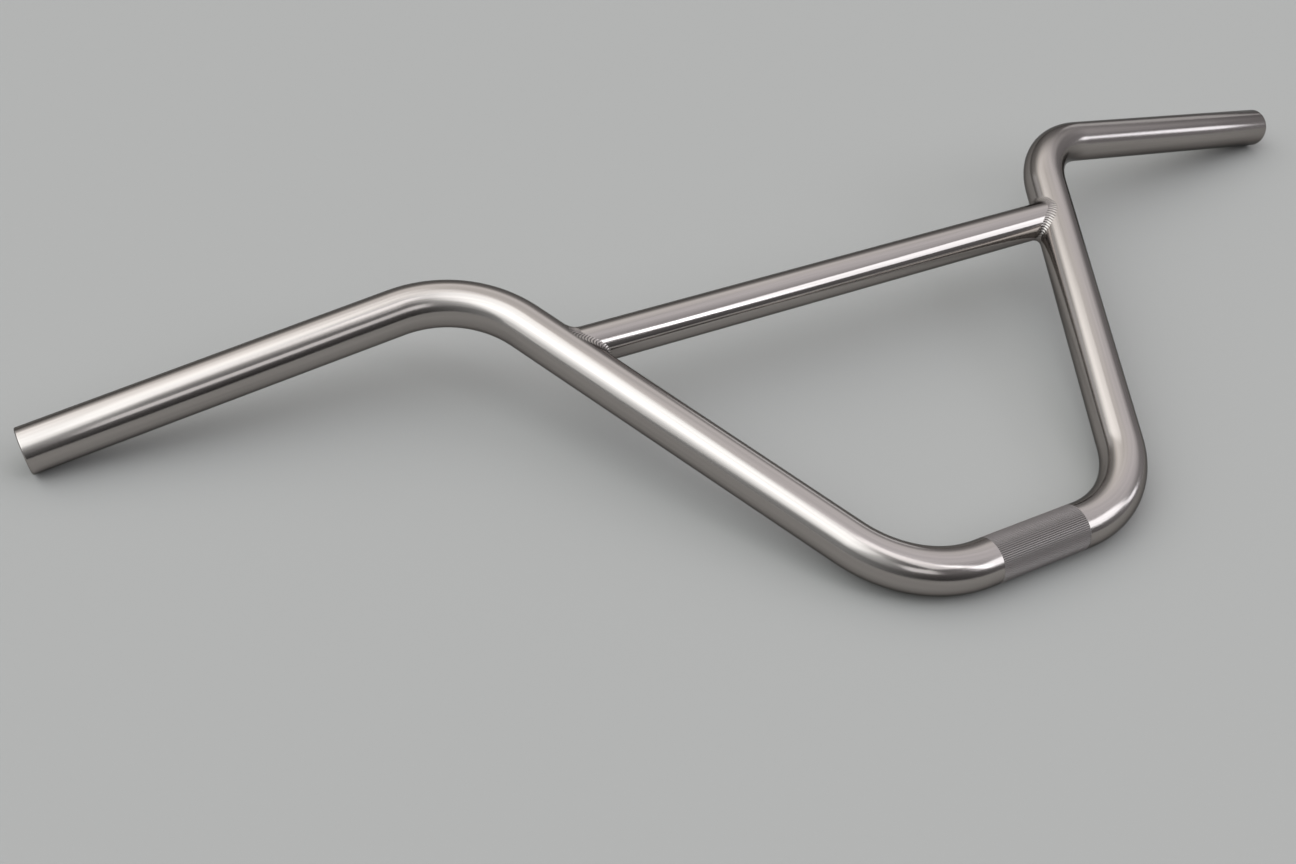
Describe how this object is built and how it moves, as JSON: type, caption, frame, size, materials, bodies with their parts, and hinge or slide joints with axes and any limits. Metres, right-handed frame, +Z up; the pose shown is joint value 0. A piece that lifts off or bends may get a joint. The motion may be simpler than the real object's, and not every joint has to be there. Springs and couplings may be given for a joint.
{
  "type": "bmx handlebar",
  "caption": "BMX handlebar of bent tube with a knurled clamp stretch, swept-back open grip ends and a slimmer crossbar welded between its legs, in bare brushed metal.",
  "frame": {"origin": "middle of the clamp stretch, on the tube's axis", "axes": "+X along the clamp, towards the rider's left hand; +Y the way the bar rises, from the clamp to the grips; +Z up from the surface that the bar lies on, its front side up"},
  "size_m": [0.766, 0.2542, 0.0573],
  "materials": {
    "brushed_bar": "bare metal, finely brushed, satin",
    "polished_crossbar": "bare metal, polished along its length",
    "weld_metal": "bare weld metal with fine stacked ripples"
  },
  "bodies": {
    "root": {"bar_tube": "brushed_bar", "crossbar": "polished_crossbar", "weld_left": "weld_metal", "weld_right": "weld_metal"}
  },
  "joints": []
}
